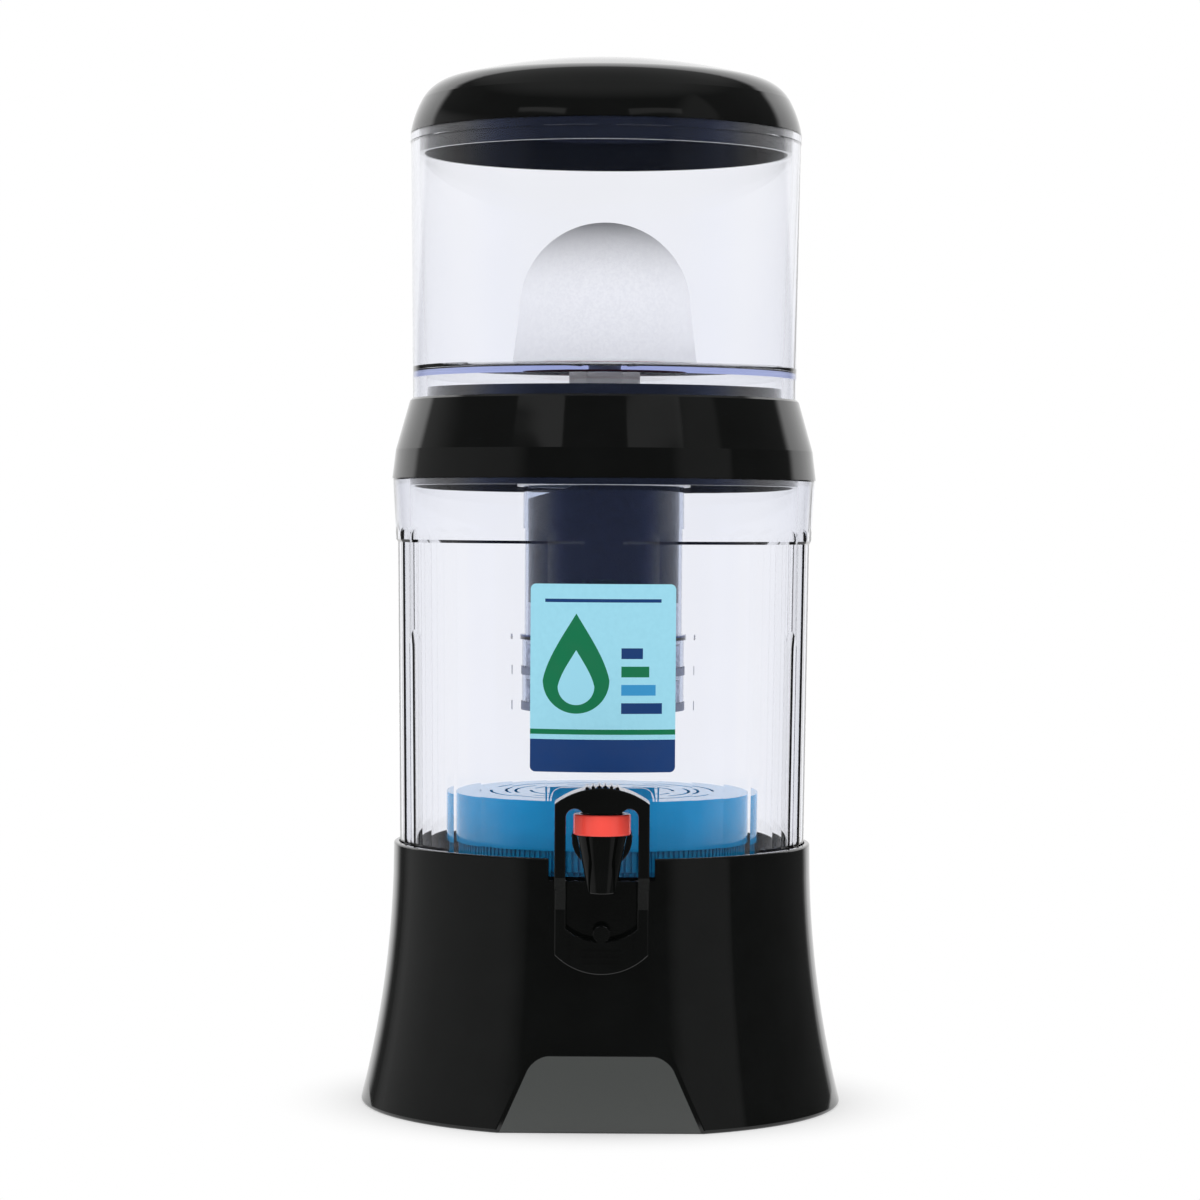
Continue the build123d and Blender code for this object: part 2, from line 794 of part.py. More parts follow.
def tap_body():
    """Shank, flange, neck and nozzle in one moulding."""
    cone_end_z = nozzle_top_z - nozzle_wall
    outside = turned(
        (0, nozzle_tip_z),
        (nozzle_tip_radius, nozzle_tip_z),
        (nozzle_top_radius, nozzle_top_z),
        (tap_neck_radius, nozzle_top_z),
        (tap_neck_radius, tap_neck_top_z),
        (0, tap_neck_top_z),
    )
    outside = fillet(outside.edges().group_by(Axis.Z)[0], nozzle_lip_round)
    inside = turned(
        (0, nozzle_tip_z),
        (nozzle_bore, nozzle_tip_z),
        (nozzle_bore, seat_z),
        (nozzle_radius(seat_z) - nozzle_wall, seat_z),
        (tap_bore, cone_end_z),
        (tap_bore, tap_neck_top_z),
        (0, tap_neck_top_z),
    )
    shank_end = pad_y + shank_length
    flange_y = pad_y - gasket_thickness - flange_thickness
    flange = bar(flange_radius, flange_y, pad_y - gasket_thickness, tap_z)
    flange = fillet(flange.edges().group_by(Axis.Y)[0], nozzle_lip_round)
    shank = bar(shank_radius, flange_y, shank_end, tap_z)
    neck = bar(neck_radius, tap_y, flange_y + flange_thickness / 2, tap_neck_z)
    body = at_tap(outside) + flange + shank + neck
    body = body - at_tap(inside)
    body = body - bar(shank_bore, flange_y + flange_thickness / 2, shank_end, tap_z)
    return body - bar(neck_bore, tap_y, flange_y + flange_thickness / 2, tap_neck_z)


def tap_ring():
    """The coloured ring round the tap's neck, held down by the bonnet."""
    band = rod(ring_radius, nozzle_top_z, nozzle_top_z + ring_height)
    band = fillet(band.edges(), ring_round)
    return at_tap(band - rod(tap_neck_radius + snug, nozzle_top_z, nozzle_top_z + ring_height))


def bonnet_seal():
    return at_tap(ring(tap_neck_radius - snug, tap_bore + snug, tap_neck_top_z, bonnet_z))


def tap_bonnet():
    """Screwed into the tap's neck: guides the stem and carries the pivot pin in two ears."""
    skirt = tap_bore - snug
    flange = rod(tap_neck_radius - snug, bonnet_z, bonnet_deck_z)
    tube = ring(skirt, skirt - bonnet_skirt_wall, bonnet_z - bonnet_skirt_depth, bonnet_z)
    cap = at_tap(flange + tube)
    ear_front = pivot_y - ear_radius
    ear_back = pivot_y + ear_radius
    deck_back = tap_y + tap_neck_radius / 2
    cap = cap + block((-ear_outer, ear_outer), (ear_front, deck_back), (bonnet_deck_z, bonnet_top_z))
    for side in (-1, 1):
        span = sorted((side * ear_inner, side * ear_outer))
        cap = cap + block(span, (ear_front, ear_back), (bonnet_deck_z, pivot_z))
        cap = cap + cross_bar(ear_radius, span[0], span[1], pivot_y, pivot_z)
    cap = cap - cross_bar(pivot_radius + running / 2, -ear_outer, ear_outer, pivot_y, pivot_z)
    pocket = rod(stem_radius + oring_thickness + running, bonnet_z, bonnet_z + oring_thickness + running)
    guide = rod(stem_radius + running, bonnet_z, bonnet_top_z)
    return cap - at_tap(pocket) - at_tap(guide)


def stem_oring():
    minor = oring_thickness / 2
    return at_tap(Pos(0, 0, bonnet_z + minor + running / 2) * Torus(stem_radius + running + minor, minor))


def tap_pivot_pin():
    return cross_bar(pivot_radius, -lever_block_half_width, lever_block_half_width, pivot_y, pivot_z)


def tap_stem():
    """Pulled up by its head. Its collar seats the spring, and its foot holds the plug."""
    foot = rod(stem_radius, spring_seat_z - plug_socket_depth, stem_head_z)
    seat = rod(spring_seat_radius, spring_seat_z, spring_seat_z + spring_seat_height)
    head = rod(stem_head_radius, stem_head_z, stem_head_z + stem_head_height)
    return at_tap(foot + seat + head)


def tap_valve_plug():
    plug = turned(
        (0, plug_z),
        (plug_radius, plug_z),
        (plug_radius, plug_z + plug_foot_height),
        (plug_top_radius, spring_seat_z),
        (0, spring_seat_z),
    )
    return at_tap(plug - rod(stem_radius, spring_seat_z - plug_socket_depth, spring_seat_z))


def tap_spring():
    """Closing spring, between the stem's collar and the bonnet."""
    low = spring_seat_z + spring_seat_height + spring_wire / 2
    high = bonnet_z - spring_wire / 2
    path = Pos(0, 0, low) * Helix((high - low) / spring_turns, high - low, spring_radius)
    start = Plane(origin=path @ 0, z_dir=path % 0)
    return at_tap(sweep(start * Circle(spring_wire / 2), path=path, is_frenet=True))


def tap_outer_gasket():
    return bar(gasket_radius, pad_y - gasket_thickness, pad_y, tap_z) - bar(
        shank_radius + snug, pad_y - gasket_thickness, pad_y, tap_z)


def tap_inner_gasket():
    seat = pad_y + pad_wall
    return bar(gasket_radius, seat, seat + gasket_thickness, tap_z) - bar(
        shank_radius + snug, seat, seat + gasket_thickness, tap_z)


def tap_nut():
    start = pad_y + pad_wall + gasket_thickness
    plane = Plane(origin=(0, start, tap_z), x_dir=(1, 0, 0), z_dir=(0, 1, 0))
    nut = extrude(plane * RegularPolygon(nut_flats / 2, 6, major_radius=False), nut_thickness)
    return nut - bar(shank_radius + snug, start, start + nut_thickness, tap_z)


# ---- tap lever ----------------------------------------------------------------------------
def plate_outline():
    """The lever seen from the front, without its window."""
    half = lever_half_width
    crown = ThreePointArc((-half, lever_shoulder_z), (0, lever_crown_z), (half, lever_shoulder_z))
    foot = ThreePointArc((half, plate_shoulder_z), (0, plate_foot_z), (-half, plate_shoulder_z))
    return make_face(Wire([crown, Line(crown @ 1, foot @ 0), foot, Line(foot @ 1, crown @ 0)]))


def window_outline():
    """The opening between the arms, round the nozzle and above the push plate."""
    half = lever_half_width - lever_arm_width
    bay = (half - lever_block_half_width) / 2
    bay_z = lever_window_top_z - bay
    foot = ThreePointArc((-half, plate_top_side_z), (0, plate_top_middle_z), (half, plate_top_side_z))
    sides = Polyline(foot @ 1, (half, bay_z), (-half, bay_z), foot @ 0)
    opening = make_face(Wire([foot, *sides.edges()]))
    for side in (-1, 1):
        opening = opening + Pos(side * (lever_block_half_width + bay), bay_z) * Circle(bay)
    middle = (bay_z + lever_block_foot_z) / 2
    # a little wider than the block, so that no cusp is left beside the bays
    throat = 2 * (lever_block_half_width + 2 * slip)
    opening = opening + Pos(0, middle) * Rectangle(throat, lever_block_foot_z - bay_z)
    return opening - Pos(0, nub_top_z - nub_radius) * Circle(nub_radius)


def side_outline():
    """The lever seen from the side: head, upright arms, a step back, and the push plate."""
    back = lever_y + lever_arm_depth
    plate_front = lever_y + lever_step
    plate_back = plate_front + lever_plate_depth
    step_z = lever_bend_z - lever_step_drop
    return make_face(Polyline(
        (lever_y, lever_crown_z + 2 * ridge_radius),
        (lever_y, lever_bend_z),
        (plate_front, step_z),
        (plate_front, plate_foot_z),
        (plate_back, plate_foot_z),
        (plate_back, step_z + lever_plate_depth / 2),
        (back, lever_bend_z + lever_plate_depth / 2),
        (back, lever_window_top_z - lever_skin),
        (lever_y + lever_head_depth, lever_window_top_z - lever_skin),
        (lever_y + lever_head_depth, lever_crown_z + 2 * ridge_radius),
        close=True,
    ))


def lever_ridges(back):
    """Grip ridges across the head's roof."""
    rise = lever_crown_z - lever_shoulder_z
    crown_radius = (lever_half_width ** 2 + rise ** 2) / (2 * rise)
    ridges = []
    for step in range(ridge_count):
        x = (step - (ridge_count - 1) / 2) * ridge_pitch
        height = lever_crown_z - crown_radius + math.sqrt(crown_radius ** 2 - x ** 2) + ridge_radius / 2
        ridges.append(Pos(x, 0, 0) * bar(ridge_radius, lever_y + ridge_radius, back - ridge_radius, height))
    return ridges


def push_plate_grip():
    """Raised panel with three plain bars, on the push plate's front."""
    face = lever_y + lever_step
    area = Pos(0, plate_foot_z) * Rectangle(2 * panel_half_width, 2 * (nub_top_z - plate_foot_z))
    panel = offset((plate_outline() & area) - window_outline(), -panel_height)
    pieces = [front_drawing(panel, face - panel_height, face + panel_height)]
    for step in range(grip_bars):
        height = plate_foot_z + grip_bar_above_foot + step * grip_bar_pitch
        mark = Pos(0, height) * SlotOverall(grip_bar_length, grip_bar_width)
        pieces.append(front_drawing(mark, face - panel_height - grip_bar_height, face))
    return pieces


def front_rim(shape, face_y):
    """The edges round the flat front faces at a Y, without the level ones where the arms bend."""
    faces = shape.faces().filter_by(Axis.Y).filter_by_position(Axis.Y, face_y, face_y)
    return [edge for edge in faces.edges() if edge.bounding_box().size.Z > 0]


def tap_lever():
    """Head, two arms and a push plate in one moulding, hung on the bonnet's ears."""
    back = lever_y + lever_head_depth
    front = front_drawing(plate_outline() - window_outline(), lever_y - past, back + lever_step)
    lever = front & extrude(Plane.YZ * side_outline(), 2 * lever_half_width, both=True)
    for face_y in (lever_y, lever_y + lever_step):
        lever = fillet(front_rim(lever, face_y), lever_edge_round)

    # the head is a shell: a front wall, a roof, and two cheeks beside the bonnet's ears
    inside = lever_y + lever_front_wall
    below = Pos(0, plate_foot_z) * Rectangle(
        3 * lever_half_width, 2 * (lever_window_top_z - lever_skin - plate_foot_z))
    cheeks = Rectangle(2 * lever_block_half_width, 2 * lever_crown_z)
    sides = offset(plate_outline(), -lever_skin) - below - cheeks
    lever = lever - front_drawing(sides, inside, back + past)
    roof_z = lever_crown_z - lever_skin
    lever = lever - block((-cheek_inner, cheek_inner), (inside, back + past), (bonnet_z, roof_z))

    # lifting pegs under the stem's head, and the pin's hole through the cheeks
    for side in (-1, 1):
        span = sorted((side * peg_inner, side * (cheek_inner + slip)))
        lever = lever + cross_bar(peg_radius, span[0], span[1], tap_y, peg_z)
    half = lever_block_half_width + past
    lever = lever - cross_bar(pivot_radius + running, -half, half, pivot_y, pivot_z)
    return lever + push_plate_grip() + lever_ridges(back)


# ---- all pieces ---------------------------------------------------------------------------
nodes = {
    "base_shell": base_shell,
    "lower_tank": lower_tank,
    "front_label": front_label,
    "collar": collar,
    "upper_tank": upper_tank,
    "lid": lid,
    "ceramic_dome": ceramic_dome,
    "dome_base": dome_base,
    "dome_seal": dome_seal,
    "dome_nut": dome_nut,
    "cartridge_cap": cartridge_cap,
    "cartridge_housing": cartridge_housing,
    "carbon_bed": carbon_bed,
    "sand_bed": sand_bed,
    "felt_pads": felt_pads,
    "zeolite_cup": zeolite_cup,
    "zeolite_bed": zeolite_bed,
    "end_cup": end_cup,
    "mineral_bed": mineral_bed,
    "cup_seals": cup_seals,
    "stone_tray": stone_tray,
    "stone_tray_foot": stone_tray_foot,
    "stone_tray_lid": stone_tray_lid,
    "mineral_stones": mineral_stones,
    "tap_body": tap_body,
    "tap_outer_gasket": tap_outer_gasket,
    "tap_inner_gasket": tap_inner_gasket,
    "tap_nut": tap_nut,
    "tap_ring": tap_ring,
    "tap_bonnet": tap_bonnet,
    "tap_bonnet_seal": bonnet_seal,
    "tap_stem_oring": stem_oring,
    "tap_stem": tap_stem,
    "tap_valve_plug": tap_valve_plug,
    "tap_spring": tap_spring,
    "tap_pivot_pin": tap_pivot_pin,
    "tap_lever": tap_lever,
}


def finished():
    """Every piece by name, with the origin under the middle of the object's box."""
    made = {}
    for name, make in nodes.items():
        shape = make()
        made[name] = Compound(shape) if isinstance(shape, list) else shape
    boxes = [shape.bounding_box() for shape in made.values()]
    middle = (min(box.min.Y for box in boxes) + max(box.max.Y for box in boxes)) / 2
    return {name: Pos(0, -middle, 0) * shape for name, shape in made.items()}, middle


pieces, axis_shift = finished()
os.makedirs("parts", exist_ok=True)
for name, shape in pieces.items():
    export_step(shape, f"parts/{name}.step")
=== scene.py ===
import math
import random

import bmesh
import bpy
from mathutils import Matrix, Vector, noise


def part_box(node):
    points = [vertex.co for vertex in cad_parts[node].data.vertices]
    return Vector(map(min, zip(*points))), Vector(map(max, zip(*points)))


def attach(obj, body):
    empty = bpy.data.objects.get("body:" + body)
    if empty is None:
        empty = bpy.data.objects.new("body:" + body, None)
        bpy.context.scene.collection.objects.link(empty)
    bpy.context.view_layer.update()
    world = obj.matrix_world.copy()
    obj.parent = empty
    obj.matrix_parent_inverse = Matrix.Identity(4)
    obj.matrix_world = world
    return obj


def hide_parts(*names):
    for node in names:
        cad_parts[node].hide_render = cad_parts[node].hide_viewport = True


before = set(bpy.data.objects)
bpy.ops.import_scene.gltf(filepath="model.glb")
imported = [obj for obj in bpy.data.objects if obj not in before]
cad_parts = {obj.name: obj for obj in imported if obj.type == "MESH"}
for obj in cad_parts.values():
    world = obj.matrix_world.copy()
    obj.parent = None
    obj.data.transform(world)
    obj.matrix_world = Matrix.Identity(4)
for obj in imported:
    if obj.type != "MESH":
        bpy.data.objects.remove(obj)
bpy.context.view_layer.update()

# ---- Camera --------------------------------------------------------------------------------
# It stands 1.84 m in front of the tanks at half their height, and looks down a little.
lid_low, lid_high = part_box("lid")
axis_y = (lid_low.y + lid_high.y) / 2            # the tanks stand on this line, at x = 0
camera_distance = 1.838
camera_height = 0.2842
camera_aside = -0.0016
camera_field = 0.588                              # width of the view at the tanks' axis
camera_drop = math.radians(1.22)
camera_roll = math.radians(0.36)
scene = bpy.context.scene
camera_data = bpy.data.cameras.new("camera")
camera_data.sensor_width = 36.0
camera_data.lens = camera_data.sensor_width * camera_distance / camera_field
camera = bpy.data.objects.new("camera", camera_data)
camera.matrix_world = (
    Matrix.Translation((camera_aside, axis_y - camera_distance, camera_height))
    @ Matrix.Rotation(math.radians(90) - camera_drop, 4, "X")
    @ Matrix.Rotation(camera_roll, 4, "Z")
)
scene.collection.objects.link(camera)
scene.camera = camera
scene.view_settings.view_transform = "Standard"


# ---- Room ----------------------------------------------------------------------------------
# A white backdrop behind and a dim room in front, which gloss mirrors and clear walls mirror
# inside themselves. Matt surfaces are lit evenly from all round, also inside the clear tanks.
def node_tree(owner):
    """Empties a material's or world's nodes and gives (nodes, link)."""
    owner.use_nodes = True
    owner.node_tree.nodes.clear()
    return owner.node_tree.nodes, owner.node_tree.links.new


def calc(nodes, link, operation, a, b=0.0, c=0.0, clamp=False):
    """One Math node. Each of a, b and c is a number or a socket."""
    node = nodes.new("ShaderNodeMath")
    node.operation = operation
    node.use_clamp = clamp
    for slot, value in enumerate((a, b, c)):
        if hasattr(value, "links"):
            link(value, node.inputs[slot])
        else:
            node.inputs[slot].default_value = value
    return node.outputs[0]


def ramp(nodes, link, value, start, end, low=0.0, high=1.0):
    """A smooth step from low to high as value goes from start to end."""
    node = nodes.new("ShaderNodeMapRange")
    node.interpolation_type = "SMOOTHSTEP"
    link(value, node.inputs["Value"])
    node.inputs["From Min"].default_value = start
    node.inputs["From Max"].default_value = end
    node.inputs["To Min"].default_value = low
    node.inputs["To Max"].default_value = high
    return node.outputs["Result"]


def either(nodes, link, choice, first, second):
    """The first number where choice is 0 and the second where it is 1."""
    node = nodes.new("ShaderNodeMix")
    node.data_type = "FLOAT"
    link(choice, node.inputs[0])
    for slot, value in ((2, first), (3, second)):
        if hasattr(value, "links"):
            link(value, node.inputs[slot])
        else:
            node.inputs[slot].default_value = value
    return node.outputs[0]


white_level = 1.0
inside_tanks_level = 1.5                          # on matt surfaces that face the clear walls
dusk_level = 0.42                                 # the dim side of the room, mirrored in clear walls
dusk_color = (0.40, 0.52, 1.0)
world = bpy.data.worlds.new("studio")
scene.world = world
nodes, link = node_tree(world)
direction = nodes.new("ShaderNodeSeparateXYZ")
link(nodes.new("ShaderNodeTexCoord").outputs["Generated"], direction.inputs[0])
x, y, z = direction.outputs
narrowing = ramp(nodes, link, z, 0.03, 0.12, -0.32, 0.0)
backdrop = calc(nodes, link, "MULTIPLY", ramp(nodes, link, z, 0.0, 0.5, 1.0, 1.4), ramp(
    nodes, link, calc(nodes, link, "ADD", y, narrowing), 0.50, 0.62, 0.07, 1.0))
overhead = ramp(nodes, link, z, 0.55, 0.85, 0.0, 0.35)
low_down = ramp(nodes, link, z, 0.45, 0.30)
left_wall = calc(nodes, link, "MULTIPLY", ramp(nodes, link, x, -0.55, -0.80, 0.0, 0.26), low_down)
right_wall = calc(nodes, link, "MULTIPLY", ramp(nodes, link, x, 0.50, 0.70, 0.0, 0.24),
                  ramp(nodes, link, y, -0.22, -0.32))
seen_in_gloss = backdrop
for part in (overhead, left_wall, right_wall):
    seen_in_gloss = calc(nodes, link, "MAXIMUM", seen_in_gloss, part)
path = nodes.new("ShaderNodeLightPath")
turned_back = calc(nodes, link, "MINIMUM", path.outputs["Glossy Depth"], 1.0)
seen_through = either(nodes, link, turned_back, white_level,
                      ramp(nodes, link, y, -0.8, 0.0, dusk_level, white_level))
level = either(nodes, link, path.outputs["Is Glossy Ray"], white_level, seen_in_gloss)
level = either(nodes, link, path.outputs["Is Transmission Ray"], level, seen_through)
after_matt = calc(nodes, link, "MINIMUM", path.outputs["Diffuse Depth"], 1.0)
inside = calc(nodes, link, "MULTIPLY", path.outputs["Is Transmission Ray"], after_matt)
level = either(nodes, link, inside, level, inside_tanks_level)
level = calc(nodes, link, "MAXIMUM", level, path.outputs["Is Camera Ray"])
blue_dusk = nodes.new("ShaderNodeMix")
blue_dusk.data_type = "RGBA"
in_clear_walls = calc(nodes, link, "SUBTRACT", path.outputs["Is Transmission Ray"], inside)
to_the_front = calc(nodes, link, "MULTIPLY", turned_back, ramp(nodes, link, y, 0.2, -0.5))
link(calc(nodes, link, "MULTIPLY", in_clear_walls, to_the_front), blue_dusk.inputs[0])
blue_dusk.inputs[6].default_value = (1, 1, 1, 1)
blue_dusk.inputs[7].default_value = (*dusk_color, 1)
background = nodes.new("ShaderNodeBackground")
link(blue_dusk.outputs[2], background.inputs["Color"])
link(level, background.inputs["Strength"])
link(background.outputs[0], nodes.new("ShaderNodeOutputWorld").inputs[0])


# ---- Soft panels ---------------------------------------------------------------------------
# Two soft boxes stand in front, left and right, above the tanks' middle. They leave the two
# upright bands on the gloss.
def panel(name, turn, rise, distance, size, brightness):
    """A soft lamp round the tanks: turn is counted from the front, and rise from level."""
    toward = Matrix.Rotation(math.radians(turn), 3, "Z") @ Vector((0, -math.cos(math.radians(rise)), 0))
    toward.z = math.sin(math.radians(rise))
    middle = Vector((0, axis_y, 0.28))
    data = bpy.data.lights.new(name, "AREA")
    data.shape = "RECTANGLE"
    data.size, data.size_y = size
    data.energy = brightness * math.pi * size[0] * size[1]
    lamp = bpy.data.objects.new(name, data)
    lamp.matrix_world = (
        Matrix.Translation(middle + toward * distance) @ toward.to_track_quat("Z", "Y").to_matrix().to_4x4()
    )
    scene.collection.objects.link(lamp)


panel("panel_left", -39.5, 32.5, 2.2, (1.0, 0.14), 0.40)
panel("panel_right", 30, 32.5, 2.2, (1.1, 0.14), 0.32)

# ---- Floor ---------------------------------------------------------------------------------
# A round white table top. It keeps the shadow at the foot, and further out it is as bright as
# the backdrop that it runs into. The gloss shows only this much of it.
floor_radius = 0.22
shadow_start, shadow_end = 0.07, 0.165            # it fades out between these distances
floor_mesh = bmesh.new()
bmesh.ops.create_circle(floor_mesh, cap_ends=True, segments=96, radius=floor_radius)
bmesh.ops.translate(floor_mesh, vec=(0, axis_y, 0), verts=floor_mesh.verts)
floor_data = bpy.data.meshes.new("floor")
floor_mesh.to_mesh(floor_data)
floor_mesh.free()
floor = bpy.data.objects.new("floor", floor_data)
scene.collection.objects.link(floor)
floor_paint = bpy.data.materials.new("pale_floor")
nodes, link = node_tree(floor_paint)
from_axis = nodes.new("ShaderNodeVectorMath")
from_axis.operation = "DISTANCE"
link(nodes.new("ShaderNodeTexCoord").outputs["Object"], from_axis.inputs[0])
from_axis.inputs[1].default_value = (0, axis_y, 0)
matt = nodes.new("ShaderNodeBsdfDiffuse")
matt.inputs["Color"].default_value = (0.93, 0.93, 0.93, 1)
white = nodes.new("ShaderNodeEmission")
path = nodes.new("ShaderNodeLightPath")
seen = calc(nodes, link, "SUBTRACT", 1.0, path.outputs["Is Diffuse Ray"])
far = ramp(nodes, link, from_axis.outputs["Value"], shadow_start, shadow_end)
blend = nodes.new("ShaderNodeMixShader")
link(calc(nodes, link, "MULTIPLY", seen, far), blend.inputs[0])
link(matt.outputs[0], blend.inputs[1])
link(white.outputs[0], blend.inputs[2])
link(blend.outputs[0], nodes.new("ShaderNodeOutputMaterial").inputs[0])
floor_data.materials.append(floor_paint)


# ---- Base ----------------------------------------------------------------------------------
# A hollow foot, injection moulded in gloss black plastic, with a flat front facet and ribs
# under its deck. The mould leaves a mirror gloss that wavers a little.
def finish_nodes(name):
    """A new material with a Principled shader, its output, and the piece's own coordinates."""
    material = bpy.data.materials.new(name)
    nodes, link = node_tree(material)
    shader = nodes.new("ShaderNodeBsdfPrincipled")
    output = nodes.new("ShaderNodeOutputMaterial")
    link(shader.outputs[0], output.inputs[0])
    coordinates = nodes.new("ShaderNodeTexCoord").outputs["Object"]
    return material, nodes, link, shader, coordinates


def grain(nodes, link, coordinates, scale, detail=3.0):
    """Noise with the given number of cells to a metre."""
    node = nodes.new("ShaderNodeTexNoise")
    link(coordinates, node.inputs["Vector"])
    node.inputs["Scale"].default_value = scale
    node.inputs["Detail"].default_value = detail
    return node.outputs["Fac"]


def tint(nodes, link, value, dark, light):
    """A colour that goes from dark to light as value goes from 0.3 to 0.7."""
    node = nodes.new("ShaderNodeValToRGB")
    link(value, node.inputs["Fac"])
    node.color_ramp.elements[0].position = 0.3
    node.color_ramp.elements[0].color = (*dark, 1)
    node.color_ramp.elements[1].position = 0.7
    node.color_ramp.elements[1].color = (*light, 1)
    return node.outputs["Color"]


def bumps(nodes, link, shader, height, distance):
    """Bump of a real depth in metres."""
    node = nodes.new("ShaderNodeBump")
    link(height, node.inputs["Height"])
    node.inputs["Distance"].default_value = distance
    link(node.outputs["Normal"], shader.inputs["Normal"])


def moulded_plastic(name, dark, light, gloss, waviness=0.00002):
    """Opaque plastic: two close shades, and a roughness that smears between two values."""
    material, nodes, link, shader, place = finish_nodes(name)
    link(tint(nodes, link, grain(nodes, link, place, 60), dark, light), shader.inputs["Base Color"])
    link(ramp(nodes, link, grain(nodes, link, place, 25), 0.3, 0.7, *gloss), shader.inputs["Roughness"])
    shader.inputs["IOR"].default_value = 1.5
    bumps(nodes, link, shader, grain(nodes, link, place, 40, 1.0), waviness)
    return material


def printed(under_color, mask, color):
    """Lays a colour over another one where the mask is 1, in the material that is being made."""
    node = nodes.new("ShaderNodeMix")
    node.data_type = "RGBA"
    link(mask, node.inputs[0])
    link(under_color, node.inputs[6])
    node.inputs[7].default_value = (*color, 1)
    return node.outputs[2]


def paint(node, material):
    """Gives a CAD node its finish."""
    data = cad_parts[node].data
    data.materials.clear()
    data.materials.append(material)


black = ((0.0016, 0.0019, 0.0017), (0.0026, 0.003, 0.0028), (0.05, 0.09))
black_plastic = moulded_plastic("gloss_black_plastic", *black)

# The foot of the facet carries a painted reflection of the white floor: a grey field, rougher than the
# rest, narrower at its top and with rounded corners there.
base_plastic = moulded_plastic("base_black_plastic", *black)
nodes, link = base_plastic.node_tree.nodes, base_plastic.node_tree.links.new
shader = next(node for node in nodes if node.type == "BSDF_PRINCIPLED")
split = nodes.new("ShaderNodeSeparateXYZ")
link(nodes.new("ShaderNodeTexCoord").outputs["Object"], split.inputs[0])
field_height, field_half_width, field_round = 0.0356, 0.031, 0.007
field_slant = 0.45                                # its sides run out this much to each metre down
facet_lean = 0.0614                               # the facet itself leans back like this
facet_foot = axis_y - 0.1067
field_blur = 0.0002
# This grey is painted reflection of the white floor, standing in for light that the facet's foot mirrors.
floor_reflection_grey = (0.068, 0.073, 0.070)
satin_roughness = 0.32
behind = calc(nodes, link, "SUBTRACT", calc(
    nodes, link, "MULTIPLY_ADD", split.outputs["Z"], -facet_lean, split.outputs["Y"]), facet_foot)
beside = calc(nodes, link, "MULTIPLY_ADD", split.outputs["Z"], field_slant, calc(
    nodes, link, "SUBTRACT", calc(nodes, link, "ABSOLUTE", split.outputs["X"]),
    field_half_width - field_round + field_slant * field_height))
above = calc(nodes, link, "SUBTRACT", split.outputs["Z"], field_height - field_round)
corner = nodes.new("ShaderNodeCombineXYZ")
link(calc(nodes, link, "MAXIMUM", beside, 0.0), corner.inputs[0])
link(calc(nodes, link, "MAXIMUM", above, 0.0), corner.inputs[1])
reach = nodes.new("ShaderNodeVectorMath")
reach.operation = "LENGTH"
link(corner.outputs[0], reach.inputs[0])
reflection_field = calc(nodes, link, "MULTIPLY", ramp(nodes, link, behind, 0.0005, 0.0003),
             ramp(nodes, link, reach.outputs["Value"], field_round + field_blur, field_round - field_blur))
# Lays the painted floor reflection over the black, and makes the field rougher.
link(printed(shader.inputs["Base Color"].links[0].from_socket, reflection_field, floor_reflection_grey),
     shader.inputs["Base Color"])
link(either(nodes, link, reflection_field, shader.inputs["Roughness"].links[0].from_socket, satin_roughness),
     shader.inputs["Roughness"])
paint("base_shell", base_plastic)


# ---- Lower tank ----------------------------------------------------------------------------
# One clear moulding with flat facets, finger recesses at its sides and a pad for the tap. The
# plastic has a faint blue-violet tint, which shows where the light has a long way through it.
clear_ior = 1.34                                  # below the real 1.5, so that thick walls stay clear


def clear_plastic(name, color, absorbed, through=(0.99, 1.0)):
    """Clear plastic. absorbed is what a metre of it takes away in red, green and blue."""
    material, nodes, link, shader, place = finish_nodes(name)
    dark = tuple(through[0] * part for part in color)
    light = tuple(through[1] * part for part in color)
    link(tint(nodes, link, grain(nodes, link, place, 30), dark, light), shader.inputs["Base Color"])
    shader.inputs["Transmission Weight"].default_value = 1.0
    shader.inputs["IOR"].default_value = clear_ior
    link(ramp(nodes, link, grain(nodes, link, place, 30), 0.4, 0.8, 0.0, 0.02), shader.inputs["Roughness"])
    bumps(nodes, link, shader, grain(nodes, link, place, 20, 1.0), 0.00001)
    open_to_lamps = nodes.new("ShaderNodeBsdfTransparent")
    open_to_lamps.inputs["Color"].default_value = (*color, 1)
    blend = nodes.new("ShaderNodeMixShader")
    link(nodes.new("ShaderNodeLightPath").outputs["Is Shadow Ray"], blend.inputs[0])
    link(shader.outputs[0], blend.inputs[1])
    link(open_to_lamps.outputs[0], blend.inputs[2])
    output = next(n for n in nodes if n.type == "OUTPUT_MATERIAL")
    link(blend.outputs[0], output.inputs["Surface"])
    inside = nodes.new("ShaderNodeVolumeAbsorption")
    density = max(absorbed)
    inside.inputs["Density"].default_value = density
    inside.inputs["Color"].default_value = (*(1 - part / density for part in absorbed), 1)
    link(inside.outputs[0], output.inputs["Volume"])
    return material


tank_plastic = clear_plastic("clear_tank_plastic", (0.985, 0.987, 0.997), (6.0, 5.2, 2.0))
paint("lower_tank", tank_plastic)

# ---- Label ---------------------------------------------------------------------------------
# A printed sticker in satin film on the tank's front: a water drop over level bars, in navy,
# green and blue on pale blue. It carries no words.
label_low, label_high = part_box("front_label")
label_middle_z = (label_low.z + label_high.z) / 2
material, nodes, link, shader, place = finish_nodes("label_print")
split = nodes.new("ShaderNodeSeparateXYZ")
link(place, split.inputs[0])
across = split.outputs["X"]
up = calc(nodes, link, "SUBTRACT", split.outputs["Z"], label_middle_z)


def within(value, middle, half):
    """1 where value lies within half of the middle."""
    return calc(nodes, link, "COMPARE", value, middle, half)


